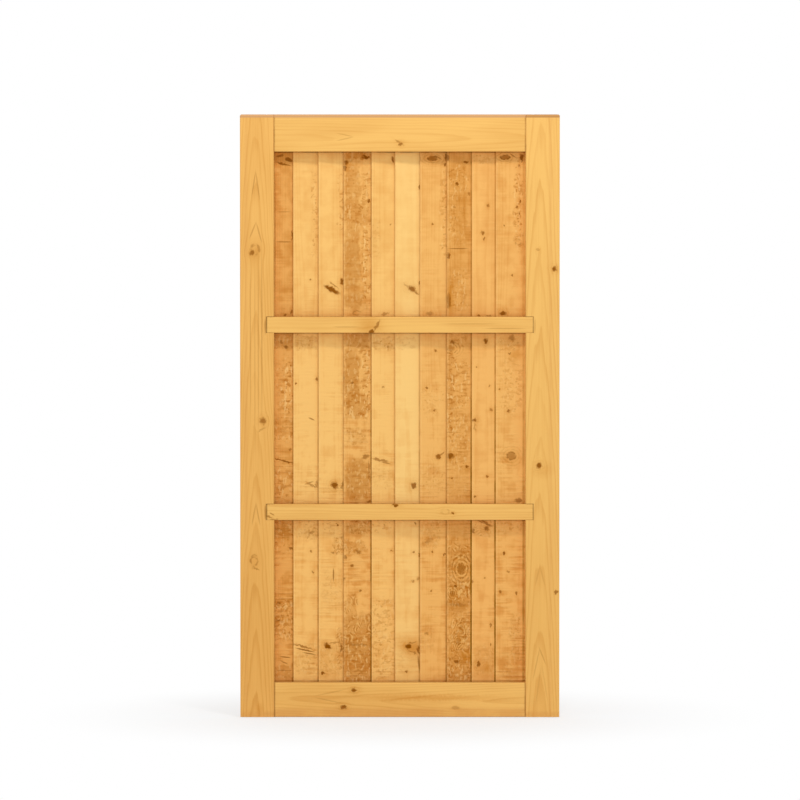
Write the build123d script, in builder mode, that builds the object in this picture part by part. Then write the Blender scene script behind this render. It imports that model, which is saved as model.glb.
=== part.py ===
"""Closeboard garden gate leaf in planed and sawn softwood, in millimetres.

Two rebated stiles and two rebated end rails make the frame, with haunched
stub tenons at the corners. Two middle rails lie in notches of the stiles.
Ten tapered boards fill the rebate behind them, each lapped over the next.

The origin is at the foot of the hanging stile's outer edge, in the middle of
its thickness. +X runs across the leaf, +Y away from the rail side, +Z up.
"""

from build123d import *
from math import asin, atan, ceil, cos, degrees, sin, tan
import os

os.makedirs("parts", exist_ok=True)

# Driving sizes of the leaf
gate_width = 900.0
gate_height = 1700.0
frame_thickness = 45.0

# Stiles and end rails
stile_width = 96.0
top_rail_width = 103.5
bottom_rail_width = 98.0
rebate_width = 20.0
rebate_depth = 20.0
arris_radius = 3.0
top_chamfer = 2.8

# Haunched stub tenons of the end rails
tenon_thickness = 15.0
tenon_length = 60.0
tenon_height = 58.0
tenon_set_back = 6.0
haunch_length = 15.0
haunch_height = 20.0
mortise_clearance = 0.2
mortise_end_gap = 2.0

# Middle rails and their notches
middle_rail_height = 45.0
middle_rail_arris = 2.0
upper_rail_level = 1108.5
lower_rail_level = 580.0
notch_length = 23.0
notch_end_gap = 0.8
notch_top_gap = 1.0

# Tapered boards, whose left edges were laid by eye and are a little uneven
board_width = 100.0
board_thin_edge = 4.0
board_thick_edge = 10.0
board_least_lap = 25.0
board_side_gap = 1.0
board_end_gap = 1.0
board_clearance = 0.2
board_laid_off = (0.0, 1.0, 0.5, -0.5, 6.5, 1.0, -0.5, 3.5, 2.0, -2.5)

# Planes and lines that the pieces share
front_y = -frame_thickness / 2
back_y = frame_thickness / 2
rebate_y = back_y - rebate_depth
hanging_wall_x = stile_width - rebate_width
latch_wall_x = gate_width - hanging_wall_x
tenon_y = rebate_y - tenon_thickness / 2
bottom_inner_z = bottom_rail_width
top_inner_z = gate_height - top_rail_width
bottom_wall_z = bottom_inner_z - rebate_width
top_wall_z = top_inner_z + rebate_width


def tenon_centre(inner_z, outward):
    """Height of the middle of a tenon, from its rail's inner edge."""
    return inner_z + outward * (tenon_set_back + tenon_height / 2)


def haunch_centre(inner_z, outward):
    """Height of the middle of a haunch, which starts where the tenon ends."""
    return inner_z + outward * (tenon_set_back + tenon_height + haunch_height / 2)


# Hanging stile: a rebated post of the frame, with two mortises and two notches
with BuildPart() as hanging_stile:
    with BuildSketch(Plane.XY) as stile_section:
        with BuildLine():
            Polyline(
                (0, front_y),
                (stile_width, front_y),
                (stile_width, rebate_y),
                (hanging_wall_x, rebate_y),
                (hanging_wall_x, back_y),
                (0, back_y),
                close=True,
            )
        make_face()
        fillet(stile_section.vertices().group_by(Axis.Y)[0], arris_radius)
        fillet(stile_section.vertices().group_by(Axis.Y)[-1], arris_radius)
    extrude(amount=gate_height)
    top_end = hanging_stile.faces().sort_by(Axis.Z)[-1]
    chamfer(top_end.outer_wire().edges(), top_chamfer)

    for inner_z, outward in ((bottom_inner_z, -1), (top_inner_z, 1)):
        with BuildSketch(Plane.YZ.offset(stile_width)):
            with Locations((tenon_y, tenon_centre(inner_z, outward))):
                Rectangle(tenon_thickness + 2 * mortise_clearance, tenon_height + 2 * mortise_clearance)
        extrude(amount=-(tenon_length + mortise_end_gap), mode=Mode.SUBTRACT)
        with BuildSketch(Plane.YZ.offset(stile_width)):
            with Locations((tenon_y, haunch_centre(inner_z, outward))):
                Rectangle(tenon_thickness + 2 * mortise_clearance, haunch_height + 2 * mortise_clearance)
        extrude(amount=-(haunch_length + mortise_end_gap), mode=Mode.SUBTRACT)

    for level in (lower_rail_level, upper_rail_level):
        with BuildSketch(Plane.XZ.offset(-front_y)):
            with Locations((stile_width, level - middle_rail_height / 2)):
                Rectangle(
                    notch_length,
                    middle_rail_height + notch_top_gap,
                    align=(Align.MAX, Align.MIN),
                )
        extrude(amount=front_y - rebate_y, mode=Mode.SUBTRACT)

hanging_stile.part.label = "hanging_stile"
export_step(hanging_stile.part, "parts/hanging_stile.step")


# Latch stile: the hanging stile's mirror image across the leaf's middle
with BuildPart() as latch_stile:
    mirror(hanging_stile.part, about=Plane.YZ.offset(gate_width / 2))

latch_stile.part.label = "latch_stile"
export_step(latch_stile.part, "parts/latch_stile.step")


def make_end_rail(name, inner_z, outer_z, outward):
    """Rebated end rail whose near shoulders are shorter than its far ones."""
    wall_z = inner_z + outward * rebate_width
    with BuildPart() as rail:
        with BuildSketch(Plane.YZ.offset(hanging_wall_x)) as rail_section:
            with BuildLine():
                Polyline(
                    (front_y, inner_z),
                    (front_y, outer_z),
                    (back_y, outer_z),
                    (back_y, wall_z),
                    (rebate_y, wall_z),
                    (rebate_y, inner_z),
                    close=True,
                )
            make_face()
            fillet(rail_section.vertices().group_by(Axis.X)[0], arris_radius)
            fillet(rail_section.vertices().group_by(Axis.X)[-1], arris_radius)
        extrude(amount=latch_wall_x - hanging_wall_x)

        for shoulder_x, into_stile in ((stile_width, -1), (gate_width - stile_width, 1)):
            with BuildSketch(Plane.YZ.offset(shoulder_x)):
                with Locations(((front_y + rebate_y) / 2, (inner_z + outer_z) / 2)):
                    Rectangle(rebate_y - front_y, abs(outer_z - inner_z))
            extrude(amount=into_stile * rebate_width, mode=Mode.SUBTRACT)
            with BuildSketch(Plane.YZ.offset(shoulder_x)):
                with Locations((tenon_y, tenon_centre(inner_z, outward))):
                    Rectangle(tenon_thickness, tenon_height)
            extrude(amount=into_stile * tenon_length)
            with BuildSketch(Plane.YZ.offset(shoulder_x)):
                with Locations((tenon_y, haunch_centre(inner_z, outward))):
                    Rectangle(tenon_thickness, haunch_height)
            extrude(amount=into_stile * haunch_length)

    rail.part.label = name
    export_step(rail.part, f"parts/{name}.step")


make_end_rail("bottom_rail", bottom_inner_z, 0, -1)
make_end_rail("top_rail", top_inner_z, gate_height, 1)


def make_middle_rail(name, level):
    """Plain rail, flush with the frame's near face, that bears on two notches."""
    start_x = stile_width - notch_length + notch_end_gap
    end_x = gate_width - start_x
    with BuildPart() as rail:
        with BuildSketch(Plane.YZ.offset(start_x)) as rail_section:
            with Locations(((front_y + rebate_y) / 2, level)):
                Rectangle(rebate_y - front_y, middle_rail_height)
            fillet(rail_section.vertices().group_by(Axis.X)[0], middle_rail_arris)
        extrude(amount=end_x - start_x)

    rail.part.label = name
    export_step(rail.part, f"parts/{name}.step")


make_middle_rail("lower_middle_rail", lower_rail_level)
make_middle_rail("upper_middle_rail", upper_rail_level)


# Places of the boards: even steps from wall to wall, less what each was laid off
first_board_x = hanging_wall_x + board_side_gap
last_board_x = latch_wall_x - board_side_gap - board_width
board_count = ceil((last_board_x - first_board_x) / (board_width - board_least_lap)) + 1
board_pitch = (last_board_x - first_board_x) / (board_count - 1)
board_lefts = [
    first_board_x + number * board_pitch + board_laid_off[number % len(board_laid_off)]
    for number in range(board_count)
]

# Lean of the boards: the last lies flat on the rails, and each of the others
# rests its thick edge on the far face of its right-hand neighbour
taper_angle = atan((board_thick_edge - board_thin_edge) / board_width)
board_leans = [0.0]
for left_x, next_x in zip(board_lefts[-2::-1], board_lefts[:0:-1]):
    lap = left_x + board_width - next_x
    rise = board_thin_edge + lap * tan(board_leans[0] + taper_angle) + board_clearance
    board_leans.insert(0, asin(rise / board_width))


def make_board(name, left_x, lean):
    """Tapered board, set on its thin edge's near corner and turned by its lean."""
    foot = Plane(
        origin=(left_x, rebate_y + board_clearance, bottom_wall_z + board_end_gap),
        x_dir=(cos(lean), sin(lean), 0),
        z_dir=(0, 0, 1),
    )
    with BuildPart() as board:
        with BuildSketch(foot):
            with BuildLine():
                Polyline(
                    (0, 0),
                    (board_width, 0),
                    (board_width, board_thick_edge),
                    (0, board_thin_edge),
                    close=True,
                )
            make_face()
        extrude(amount=top_wall_z - bottom_wall_z - 2 * board_end_gap)

    board.part.label = name
    export_step(board.part, f"parts/{name}.step")


for number, (left_x, lean) in enumerate(zip(board_lefts, board_leans), start=1):
    make_board(f"board_{number:02d}", left_x, lean)

print("boards:", board_count, "pitch:", round(board_pitch, 2), "mm")
print("leans:", [round(degrees(lean), 2) for lean in board_leans], "degrees")
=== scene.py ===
"""Looks of the closeboard gate leaf: timber finishes, nails, light and camera."""

import logging
import math
from dataclasses import dataclass, field
from enum import Enum
from typing import Any, Sequence, Union

import bpy
from mathutils import Matrix, Vector


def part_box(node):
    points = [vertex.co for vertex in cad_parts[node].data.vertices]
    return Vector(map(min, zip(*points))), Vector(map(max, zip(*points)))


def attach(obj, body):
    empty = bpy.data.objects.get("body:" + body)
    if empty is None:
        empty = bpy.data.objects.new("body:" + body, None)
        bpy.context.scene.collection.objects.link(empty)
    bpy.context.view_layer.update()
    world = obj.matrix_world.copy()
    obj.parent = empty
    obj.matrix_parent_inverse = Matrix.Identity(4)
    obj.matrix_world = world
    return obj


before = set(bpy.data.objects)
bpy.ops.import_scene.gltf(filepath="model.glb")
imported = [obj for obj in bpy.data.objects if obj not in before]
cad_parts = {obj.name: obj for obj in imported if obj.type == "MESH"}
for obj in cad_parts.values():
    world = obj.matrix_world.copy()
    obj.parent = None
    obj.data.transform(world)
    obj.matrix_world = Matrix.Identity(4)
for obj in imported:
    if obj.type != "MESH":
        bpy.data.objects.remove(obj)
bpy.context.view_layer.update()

log = logging.getLogger("gate")

BODY = "root"

Socket = bpy.types.NodeSocket
Value = Union[float, Sequence[float], Socket]
Triple = tuple[float, float, float]
Colour = Triple


def linear(red: int, green: int, blue: int) -> Colour:
    """Turns a screen colour of 0 to 255 a channel into linear light.

    Args:
        red: the red channel.
        green: the green channel.
        blue: the blue channel.

    Returns:
        The three linear channels.
    """
    shares = (value / 255 for value in (red, green, blue))
    return tuple(s / 12.92 if s <= 0.04045 else ((s + 0.055) / 1.055) ** 2.4 for s in shares)


@dataclass(frozen=True)
class View:
    """The photograph's frame: a square of 800 pixels, seen from straight in front and a little above."""

    centre: tuple[float, float] = (0.4504, 0.8952)
    breadth: float = 2.2556
    pixels: int = 800
    elevation: float = 3.5

    @property
    def pixel(self) -> float:
        """Metres that one pixel spans at the leaf."""
        return self.breadth / self.pixels

    def x(self, column: float) -> float:
        """Where a column of the picture falls across the leaf, in metres."""
        return self.centre[0] + (column - self.pixels / 2) * self.pixel

    def z(self, row: float, depth: float) -> float:
        """How high a row of the picture falls on an upright face.

        Args:
            row: the row, counted from the top.
            depth: the face's distance behind the middle of the leaf, in metres.

        Returns:
            The height in metres.
        """
        tilt = math.radians(self.elevation)
        rise = (self.pixels / 2 - row) * self.pixel - depth * math.sin(tilt)
        return self.centre[1] + rise / math.cos(tilt)


VIEW = View()


class Canvas:
    """Adds and wires the nodes of one material, world or node group."""

    def __init__(self, tree: bpy.types.NodeTree) -> None:
        """Keeps the tree that the nodes go into."""
        self.tree = tree

    def add(self, kind: str, **settings: Any) -> bpy.types.Node:
        """Adds a node and sets its options.

        Args:
            kind: the node's type name.
            settings: options of that node.

        Returns:
            The new node.
        """
        node = self.tree.nodes.new(kind)
        for option, value in settings.items():
            setattr(node, option, value)
        return node

    def feed(self, socket: Socket, value: Value) -> None:
        """Links an output to a socket, or sets the socket's own number or colour."""
        if isinstance(value, bpy.types.NodeSocket):
            self.tree.links.new(value, socket)
        else:
            socket.default_value = value

    def maths(self, operation: str, first: Value, second: Value = 0.0, third: Value = 0.0) -> Socket:
        """One Math node.

        Args:
            operation: its operation.
            first: its first input.
            second: its second input.
            third: its third input, where the operation has one.

        Returns:
            Its result.
        """
        node = self.add("ShaderNodeMath", operation=operation)
        for place, value in enumerate((first, second, third)):
            self.feed(node.inputs[place], value)
        return node.outputs[0]

    def vectors(self, operation: str, first: Value, second: Value = (0.0, 0.0, 0.0)) -> Socket:
        """One Vector Math node.

        Args:
            operation: its operation.
            first: its first input.
            second: its second input, which is a number for SCALE.

        Returns:
            The vector, or for LENGTH the number.
        """
        node = self.add("ShaderNodeVectorMath", operation=operation)
        self.feed(node.inputs[0], first)
        if operation == "SCALE":
            self.feed(node.inputs["Scale"], second)
        elif operation != "LENGTH":
            self.feed(node.inputs[1], second)
        return node.outputs["Value"] if operation == "LENGTH" else node.outputs["Vector"]

    def smooth(self, value: Value, start: Value, end: Value, low: float = 0.0, high: float = 1.0) -> Socket:
        """A soft step.

        Args:
            value: what is stepped.
            start: where the step begins.
            end: where it ends.
            low: the result before it.
            high: the result after it.

        Returns:
            The stepped value.
        """
        node = self.add("ShaderNodeMapRange", interpolation_type="SMOOTHSTEP")
        self.feed(node.inputs["Value"], value)
        self.feed(node.inputs["From Min"], start)
        self.feed(node.inputs["From Max"], end)
        node.inputs["To Min"].default_value = low
        node.inputs["To Max"].default_value = high
        return node.outputs["Result"]

    def noise(self, place: Socket, stretch: Sequence[float], detail: float = 2.0,
              warp: float = 0.0) -> bpy.types.Node:
        """A noise texture whose lumps are stretched.

        Args:
            place: the position that it reads.
            stretch: how many lumps a metre holds, along each axis.
            detail: its octaves.
            warp: how far it is distorted.

        Returns:
            The noise node, for its Fac or its Color.
        """
        node = self.add("ShaderNodeTexNoise")
        self.feed(node.inputs["Vector"], self.vectors("MULTIPLY", place, tuple(stretch)))
        node.inputs["Scale"].default_value = 1.0
        node.inputs["Detail"].default_value = detail
        node.inputs["Distortion"].default_value = warp
        return node

    def scatter(self, place: Socket, stretch: Sequence[float], detail: float, reach: Value) -> Socket:
        """An uneven offset.

        Args:
            place: the position that it reads.
            stretch: how many lumps a metre holds, along each axis.
            detail: its octaves.
            reach: how far it goes.

        Returns:
            The offset.
        """
        noise = self.noise(place, stretch, detail=detail).outputs["Color"]
        return self.vectors("SCALE", self.vectors("SUBTRACT", noise, (0.5, 0.5, 0.5)), reach)

    def roughen(self, shader: bpy.types.Node, height: Socket, strength: float, distance: float) -> None:
        """Gives a shader an uneven surface.

        Args:
            shader: the shader.
            height: the height over the surface, in shares of the distance.
            strength: how much of it shows.
            distance: how high it is, in metres.
        """
        bump = self.add("ShaderNodeBump")
        bump.inputs["Strength"].default_value = strength
        bump.inputs["Distance"].default_value = distance
        self.feed(bump.inputs["Height"], height)
        self.feed(shader.inputs["Normal"], bump.outputs["Normal"])

    def blend(self, share: Value, first: Value, second: Value) -> Socket:
        """Mixes two colours.

        Args:
            share: how much of the second shows.
            first: the first colour.
            second: the second colour.

        Returns:
            The mixed colour.
        """
        node = self.add("ShaderNodeMix", data_type="RGBA")
        self.feed(node.inputs["Factor"], share)
        for place, value in ((6, first), (7, second)):
            is_linked = isinstance(value, bpy.types.NodeSocket)
            self.feed(node.inputs[place], value if is_linked else (*value, 1.0))
        return node.outputs[2]

    def split(self, vector: Socket) -> Any:
        """The three numbers of a vector."""
        node = self.add("ShaderNodeSeparateXYZ")
        self.feed(node.inputs[0], vector)
        return node.outputs

    def join(self, x: Value, y: Value, z: Value) -> Socket:
        """A vector from three numbers."""
        node = self.add("ShaderNodeCombineXYZ")
        for place, value in enumerate((x, y, z)):
            self.feed(node.inputs[place], value)
        return node.outputs[0]

    def group(self, tree: bpy.types.NodeTree, **inputs: Value) -> Any:
        """Places a node group.

        Args:
            tree: the group.
            inputs: its inputs by name, with underscores for blanks.

        Returns:
            The group node's outputs.
        """
        node = self.add("ShaderNodeGroup", node_tree=tree)
        for label, value in inputs.items():
            self.feed(node.inputs[label.replace("_", " ")], value)
        return node.outputs


NUMBER = "NodeSocketFloat"
PLACE = "NodeSocketVector"
HERE = (0.0, 0.0, 0.0)

# Metres that no piece reaches
ENDLESS = 1000.0
OVER_ALL = 99.0


class Effect:
    """Base of the shared effects, each of them one node group that is built once."""

    title = "effect"
    inputs: tuple[tuple[str, Any], ...] = ()
    outputs: tuple[tuple[str, str], ...] = ()

    def __init__(self) -> None:
        """Makes the group, its sockets and its inner nodes."""
        self.tree = bpy.data.node_groups.new(self.title, "ShaderNodeTree")
        for name, rest in self.inputs:
            kind = PLACE if isinstance(rest, tuple) else NUMBER
            socket = self.tree.interface.new_socket(name, in_out="INPUT", socket_type=kind)
            socket.default_value = rest
        for name, kind in self.outputs:
            self.tree.interface.new_socket(name, in_out="OUTPUT", socket_type=kind)
        self.canvas = Canvas(self.tree)
        self.given = self.canvas.add("NodeGroupInput").outputs
        self.results = self.canvas.add("NodeGroupOutput").inputs
        self.draw(self.canvas)

    def give(self, name: str, value: Value) -> None:
        """Feeds one of the group's outputs."""
        self.canvas.feed(self.results[name], value)

    def draw(self, canvas: Canvas) -> None:
        """Adds the inner nodes; each effect has its own."""
        raise NotImplementedError


class GrowthRings(Effect):
    """Rings round a pith that wanders along the trunk, as the piece's faces cut them."""

    title = "growth rings"
    inputs = (("Place", HERE), ("Pith", HERE), ("Spacing", 0.004), ("Wander", 0.02), ("Taper", 0.0))
    outputs = (("Latewood", NUMBER),)

    def draw(self, canvas: Canvas) -> None:
        """Measures the distance from the pith and turns it into light and dark wood."""
        given = self.given
        drift = canvas.scatter(given["Place"], (2.5, 2.5, 1.1), 1.0, given["Wander"])
        place = canvas.vectors("ADD", given["Place"], drift)
        place = canvas.vectors("SUBTRACT", place, given["Pith"])
        along = canvas.split(place)[2]
        radius = canvas.vectors("LENGTH", canvas.vectors("MULTIPLY", place, (1.0, 1.0, 0.0)))
        radius = canvas.maths("MULTIPLY_ADD", along, given["Taper"], radius)
        ripple = canvas.noise(given["Place"], (60.0, 60.0, 6.0), detail=2.0).outputs["Fac"]
        phase = canvas.maths("DIVIDE", radius, given["Spacing"])
        phase = canvas.maths("MULTIPLY_ADD", ripple, 0.8, phase)
        share = canvas.maths("FRACT", phase)
        late = canvas.smooth(share, 0.45, 0.9)
        late = canvas.maths("MULTIPLY", late, canvas.smooth(share, 0.92, 1.0, 1.0, 0.0))
        year = canvas.add("ShaderNodeTexWhiteNoise", noise_dimensions="1D")
        canvas.feed(year.inputs["W"], canvas.maths("FLOOR", phase))
        strength = canvas.maths("MULTIPLY_ADD", year.outputs["Value"], 0.75, 0.25)
        self.give("Latewood", canvas.maths("MULTIPLY", late, strength))


class KnotMark(Effect):
    """A knot or streak: a dark oval with a rim, which stains and turns the grain round it."""

    title = "knot"
    inputs = (("Place", HERE), ("Wobbled", HERE), ("Centre", HERE), ("Sizes", (0.01, ENDLESS, 0.01)),
              ("Lean", 0.0), ("Core", 0.0), ("Rim", 0.0), ("Swirl", 0.0), ("Stain", 0.0), ("Push", 0.0),
              ("Broken", 1.0), ("Dark so far", 0.0), ("Light so far", 0.0), ("Stain so far", 0.0))
    outputs = (("Place", PLACE), ("Dark", NUMBER), ("Light", NUMBER), ("Stain", NUMBER))

    def draw(self, canvas: Canvas) -> None:
        """Shapes the core, the rim and the stain, and pushes the grain aside."""
        given = self.given
        offset = canvas.vectors("SUBTRACT", given["Wobbled"], given["Centre"])
        turn = canvas.add("ShaderNodeVectorRotate", rotation_type="Y_AXIS")
        canvas.feed(turn.inputs["Vector"], offset)
        canvas.feed(turn.inputs["Angle"], given["Lean"])
        reach = canvas.vectors("LENGTH", canvas.vectors("DIVIDE", turn.outputs[0], given["Sizes"]))
        core = canvas.maths("MULTIPLY", canvas.smooth(reach, 0.55, 1.2, 1.0, 0.0), given["Core"])
        ring = canvas.maths("ABSOLUTE", canvas.maths("SUBTRACT", reach, 0.85))
        rim = canvas.maths("MULTIPLY", canvas.smooth(ring, 0.05, 0.4, 1.0, 0.0), given["Rim"])
        rim = canvas.maths("MULTIPLY", rim, given["Broken"])
        near = canvas.maths("MULTIPLY", canvas.maths("MULTIPLY", reach, reach), -0.3)
        near = canvas.maths("EXPONENT", near)
        across = canvas.split(offset)[0]
        aside = canvas.maths("MULTIPLY", across, canvas.maths("MULTIPLY", near, given["Push"]))
        self.give("Place", canvas.vectors("SUBTRACT", given["Place"], canvas.join(aside, 0.0, 0.0)))
        wave = canvas.maths("SINE", canvas.maths("MULTIPLY", reach, 8.5))
        fade = canvas.maths("MULTIPLY", canvas.smooth(reach, 1.2, 4.2, 1.0, 0.0), given["Swirl"])
        fade = canvas.maths("MULTIPLY", fade, given["Broken"])
        swirl = canvas.maths("MULTIPLY", canvas.smooth(wave, 0.0, 0.9), fade)
        dark = canvas.maths("MAXIMUM", canvas.maths("MAXIMUM", core, rim), swirl)
        self.give("Dark", canvas.maths("MAXIMUM", dark, given["Dark so far"]))
        outside = canvas.maths("MULTIPLY", canvas.smooth(reach, 1.0, 1.3), fade)
        light = canvas.maths("MULTIPLY", canvas.smooth(wave, -0.9, -0.1, 1.0, 0.0), outside)
        self.give("Light", canvas.maths("MAXIMUM", light, given["Light so far"]))
        stain = canvas.maths("MULTIPLY", near, given["Stain"])
        self.give("Stain", canvas.maths("MAXIMUM", stain, given["Stain so far"]))


class RoughPatch(Effect):
    """A ragged, rather square stretch in which the wood is torn, dark or curly."""

    title = "rough patch"
    inputs = (("Ragged", HERE), ("Centre", HERE), ("Sizes", (0.01, ENDLESS, 0.01)), ("Torn", 0.0),
              ("Brown", 0.0), ("Curly", 0.0), ("Torn so far", 0.0), ("Brown so far", 0.0),
              ("Curly so far", 0.0))
    outputs = (("Torn", NUMBER), ("Brown", NUMBER), ("Curly", NUMBER))

    def draw(self, canvas: Canvas) -> None:
        """Fades the patch towards its edge."""
        given = self.given
        share = canvas.vectors("SUBTRACT", given["Ragged"], given["Centre"])
        share = canvas.vectors("DIVIDE", share, given["Sizes"])
        reach = canvas.vectors("LENGTH", canvas.vectors("MULTIPLY", share, share))
        inside = canvas.smooth(reach, 0.55, 1.35, 1.0, 0.0)
        for name, _ in self.outputs:
            share = canvas.maths("MULTIPLY", inside, given[name])
            self.give(name, canvas.maths("MAXIMUM", share, given[f"{name} so far"]))


class SawMarks(Effect):
    """What the saw left on a rough board: strokes across it and a torn, speckled grain."""

    title = "saw marks"
    inputs = (("Place", HERE),)
    outputs = (("Stroke", NUMBER), ("Tear", NUMBER), ("Cream", NUMBER), ("Curl", NUMBER))

    def draw(self, canvas: Canvas) -> None:
        """Draws the strokes and bands, the torn blotches and pits, the pale fibres and the curls."""
        place = self.given["Place"]
        stroke = canvas.noise(place, (9.0, 9.0, 150.0), detail=3.0, warp=0.4).outputs["Fac"]
        stroke = canvas.smooth(stroke, 0.3, 0.7, -1.0, 1.0)
        calm = canvas.noise(place, (22.0, 22.0, 14.0), detail=1.0).outputs["Fac"]
        stroke = canvas.maths("MULTIPLY", stroke, canvas.smooth(calm, 0.38, 0.66, 0.15, 1.0))
        band = canvas.noise(place, (6.0, 6.0, 42.0), detail=2.0).outputs["Fac"]
        band = canvas.smooth(band, 0.32, 0.68, -1.0, 1.0)
        self.give("Stroke", canvas.maths("MULTIPLY_ADD", band, 0.55, stroke))
        blotch = canvas.noise(place, (55.0, 55.0, 120.0), detail=3.0).outputs["Fac"]
        pit = canvas.noise(place, (140.0, 140.0, 140.0), detail=0.0).outputs["Fac"]
        tear = canvas.maths("MULTIPLY", canvas.smooth(blotch, 0.5, 0.64), 0.75)
        self.give("Tear", canvas.maths("MAXIMUM", tear, canvas.smooth(pit, 0.64, 0.74)))
        thread = canvas.noise(place, (160.0, 160.0, 65.0), detail=1.0).outputs["Fac"]
        self.give("Cream", canvas.smooth(thread, 0.55, 0.67))
        slope = canvas.noise(place, (26.0, 26.0, 17.0), detail=1.0).outputs["Fac"]
        ragged = canvas.noise(place, (130.0, 130.0, 130.0), detail=2.0).outputs["Fac"]
        phase = canvas.maths("MULTIPLY_ADD", ragged, 5.0, canvas.maths("MULTIPLY", slope, 84.0))
        worn = canvas.noise(place, (75.0, 75.0, 60.0), detail=1.0).outputs["Fac"]
        curl = canvas.maths("SINE", phase)
        self.give("Curl", canvas.maths("MULTIPLY", curl, canvas.smooth(worn, 0.4, 0.58)))


class Seam(Effect):
    """A straight line along a joint or edge, broken up along its length: painted shade with dirt at joints
    and laps, a painted highlight on a lit edge, a rosy tint.
    """

    title = "seam"
    inputs = (("Across", 0.0), ("At", 0.0), ("Breadth", 0.002), ("Broken", 1.0), ("Force", 1.0),
              ("So far", 0.0))
    outputs = (("Line", NUMBER),)

    def draw(self, canvas: Canvas) -> None:
        """Fades with the distance from the joint."""
        given = self.given
        away = canvas.maths("ABSOLUTE", canvas.maths("SUBTRACT", given["Across"], given["At"]))
        line = canvas.smooth(canvas.maths("DIVIDE", away, given["Breadth"]), 0.35, 1.0, 1.0, 0.0)
        line = canvas.maths("MULTIPLY", canvas.maths("MULTIPLY", line, given["Force"]), given["Broken"])
        self.give("Line", canvas.maths("MAXIMUM", line, given["So far"]))


@dataclass(frozen=True)
class Mark:
    """A knot, streak or stain, where and as large as the photograph shows it, in its pixels."""

    kind: "Kind"
    column: float
    row: float
    wide: float
    tall: float
    lean: float
    force: float


class Kind(Enum):
    """Kinds of mark: the strength of core, rim, swirl and stain, and how far the grain is turned."""

    PIN = (0.72, 0.0, 0.0, 0.25, 0.5)
    KNOT = (0.92, 0.50, 0.08, 0.35, 0.8)
    EYE = (0.68, 0.90, 0.25, 0.45, 0.85)
    RING = (0.0, 0.45, 0.0, 0.25, 0.7)
    WHORL = (0.55, 0.55, 0.62, 0.45, 0.6)
    STREAK = (0.88, 0.0, 0.0, 0.25, 0.0)
    LINE = (0.55, 0.0, 0.0, 0.0, 0.0)
    STAIN = (0.0, 0.0, 0.0, 0.60, 0.0)

    def __call__(self, column: float, row: float, wide: float, tall: float = 0.0, lean: float = 0.0,
                 force: float = 1.0) -> Mark:
        """A mark of this kind.

        Args:
            column: the column of its middle.
            row: the row of its middle.
            wide: its width.
            tall: its height, or 0 where it is as high as it is wide.
            lean: how far it leans, in degrees.
            force: how strongly it shows.

        Returns:
            The mark.
        """
        return Mark(self, column, row, wide, tall or wide, lean, force)


PIN, KNOT, EYE, RING, WHORL, STREAK, LINE, STAIN = Kind


@dataclass(frozen=True)
class Patch:
    """A stretch of torn or dark wood, in the photograph's pixels."""

    column: float
    row: float
    wide: float
    tall: float
    torn: float
    brown: float
    curly: float = 0.0


class Trace(Enum):
    """What a straight trace along a piece is made of: a painted highlight on a lit edge, a rosy tint,
    painted shade with brown dirt in the laps, and painted shade with grime at the other joints.
    """

    # Painted highlight: the pale line along a board's lit thin edge.
    WORN = linear(250, 205, 132)
    ROSY = linear(214, 150, 80)
    # Painted shade with brown dirt along the laps between boards and where the end boards meet the stiles.
    LAP = linear(152, 104, 4)
    # Painted shade with grime at the frame's joints and just under and over the rails.
    GRIME = linear(124, 70, 0)


ACROSS = 0
UP = 2


@dataclass(frozen=True)
class Joint:
    """A straight trace at a joint or an edge, across x or z, in metres."""

    axis: int
    at: float
    breadth: float
    force: float
    trace: Trace = Trace.GRIME


class Grain(Enum):
    """Which way a piece's grain runs, as the turn about y that stands it upright."""

    UPRIGHT = 0.0
    LEVEL = math.pi / 2


class Tone(Enum):
    """The shades that the treated timber comes in: early wood, then late wood."""

    STRAW = (linear(249, 203, 124), linear(236, 178, 98))
    HONEY = (linear(247, 195, 114), linear(230, 168, 88))
    FLAX = (linear(243, 191, 107), linear(222, 163, 83))
    GOLD = (linear(240, 184, 101), linear(212, 149, 69))
    AMBER = (linear(241, 183, 103), linear(220, 152, 74))
    PEACH = (linear(243, 184, 104), linear(224, 157, 80))
    RUSSET = (linear(233, 171, 92), linear(206, 138, 60))


@dataclass(frozen=True)
class TimberLook:
    """How one piece of timber looks."""

    tone: Tone
    grain: Grain = Grain.UPRIGHT
    pith: tuple[float, float] = (0.02, -0.09)
    ring: float = 0.0042
    wander: float = 0.02
    taper: float = 0.0
    ring_strength: float = 0.5
    cloud: float = 0.35
    sawn: float = 0.0
    seed: float = 0.0
    weathered: Colour = linear(208, 158, 110)
    marks: tuple[Mark, ...] = ()
    patches: tuple[Patch, ...] = ()


KNOT_COLOUR = linear(140, 78, 0)
STAIN_COLOUR = linear(204, 130, 40)
TEAR_COLOUR = linear(178, 104, 16)
CREAM_COLOUR = linear(250, 205, 132)
RIDGE_COLOUR = linear(238, 184, 106)
GLOW_COLOUR = linear(246, 164, 78)


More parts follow.
